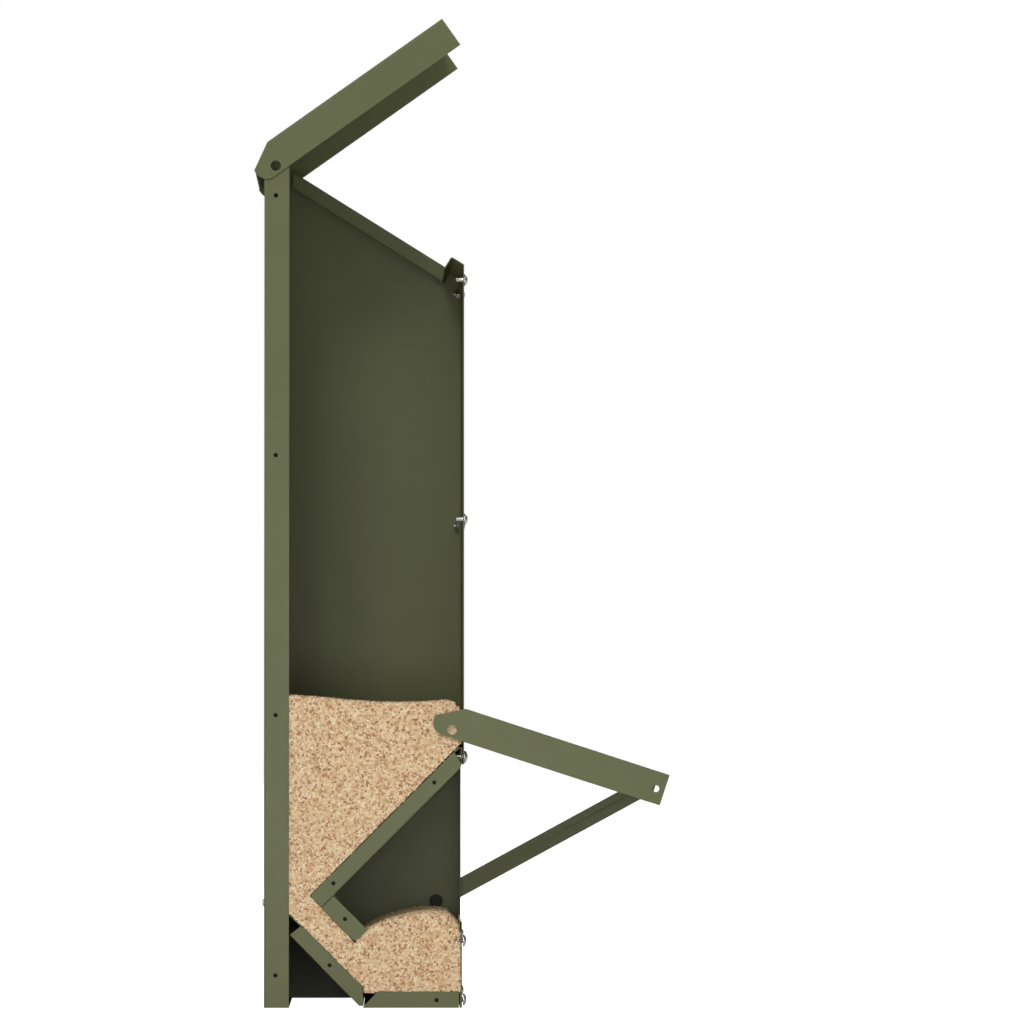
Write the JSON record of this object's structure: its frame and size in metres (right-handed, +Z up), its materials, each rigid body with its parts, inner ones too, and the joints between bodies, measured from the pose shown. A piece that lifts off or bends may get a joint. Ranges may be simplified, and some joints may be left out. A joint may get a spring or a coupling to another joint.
{
  "type": "gravity poultry feeder",
  "caption": "Upright sheet-metal gravity feeder with a hinged lid, inner plates leading feed to an open trough, and a rain hood held up by flat stays.",
  "frame": {"origin": "on the ground, at the middle of the back panel's bottom flange", "axes": "+Z up; the front (trough and rain hood) faces -Y; +X across the width, the right side seen from the front"},
  "size_m": [0.315, 0.4157, 0.9895],
  "materials": {
    "coated_sheet": "satin powder coat",
    "zinc": "bright zinc plate",
    "black_steel": "matt black phosphate",
    "nylon": "matt moulded nylon",
    "feed": "loose cracked grain and crumb"
  },
  "bodies": {
    "housing": {"back_panel": "coated_sheet", "side_panel_left": "coated_sheet", "side_panel_right": "coated_sheet", "front_panel": "coated_sheet", "trough_lip": "coated_sheet", "trough_floor": "coated_sheet", "rear_chute": "coated_sheet", "hopper_baffle": "coated_sheet", "deflector": "coated_sheet", "lid_pivot_left": "zinc", "lid_pivot_right": "zinc", "hood_pivot_left": "zinc", "hood_pivot_right": "zinc", "stay_pivot_left": "zinc", "stay_pivot_right": "zinc", "pivot_washers_left": "nylon", "pivot_washers_right": "nylon", "stay_spacer_left": "nylon", "stay_spacer_right": "nylon", "retaining_clips_left": "black_steel", "retaining_clips_right": "black_steel", "front_bolts_left": "zinc", "front_bolts_right": "zinc", "front_nuts_left": "zinc", "front_nuts_right": "zinc", "side_screws_left": "zinc", "side_screws_right": "zinc", "side_nuts_left": "black_steel", "side_nuts_right": "black_steel", "chute_screws": "zinc", "chute_nuts": "zinc", "deflector_screws": "zinc", "deflector_nuts": "zinc", "feed": "feed"},
    "lid": {"lid": "coated_sheet"},
    "rain_hood": {"rain_hood": "coated_sheet"},
    "stay_left": {"stay_left": "coated_sheet", "stay_stud_left": "zinc"},
    "stay_right": {"stay_right": "coated_sheet", "stay_stud_right": "zinc"}
  },
  "joints": [
    {"name": "lid_hinge", "type": "hinge", "parent": "housing", "child": "lid", "pos_m": [0, 0.0011, 0.842], "axis": [-1, 0, 0], "range_deg": [-67, 42]},
    {"name": "hood_hinge", "type": "hinge", "parent": "housing", "child": "rain_hood", "pos_m": [0, -0.1753, 0.2777], "axis": [-1, 0, 0], "range_deg": [-72, 0]},
    {"name": "stay_left_pivot", "type": "hinge", "parent": "housing", "child": "stay_left", "pos_m": [0, -0.1613, 0.1003], "axis": [1, 0, 0], "range_deg": [-68, 0]},
    {"name": "stay_right_pivot", "type": "hinge", "parent": "housing", "child": "stay_right", "pos_m": [0, -0.1613, 0.1003], "axis": [1, 0, 0], "range_deg": [-68, 0]}
  ]
}
